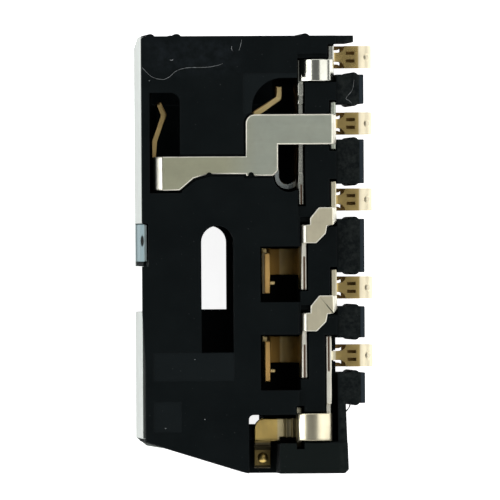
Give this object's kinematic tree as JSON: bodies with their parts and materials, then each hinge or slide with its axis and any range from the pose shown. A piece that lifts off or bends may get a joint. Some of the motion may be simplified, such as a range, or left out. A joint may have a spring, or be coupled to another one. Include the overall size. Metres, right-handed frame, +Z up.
{
  "type": "audio jack socket",
  "caption": "Compact side-mount audio jack socket: black moulded housing with a round plug bore, folded spring contacts with looped terminals and a sheet shield.",
  "frame": {"origin": "on the plug bore's axis, in the mouth face", "axes": "+Y along the bore and out of its mouth, +X towards the terminals, +Z up out of the open face with the contact plates"},
  "size_m": [0.0072, 0.0137, 0.0045],
  "materials": {
    "housing_plastic": "black moulded, satin",
    "shield_steel": "bright stainless sheet",
    "contact_gold": "gold flash on stamped copper alloy",
    "contact_nickel": "nickel plate with gold flash on the springs"
  },
  "bodies": {
    "root": {"housing": "housing_plastic", "shield": "shield_steel", "sense_contact": "contact_gold", "sleeve_contact": "contact_nickel", "ring_contact": "contact_gold", "tip_contact": "contact_gold", "switch_contact": "contact_gold"}
  },
  "joints": []
}
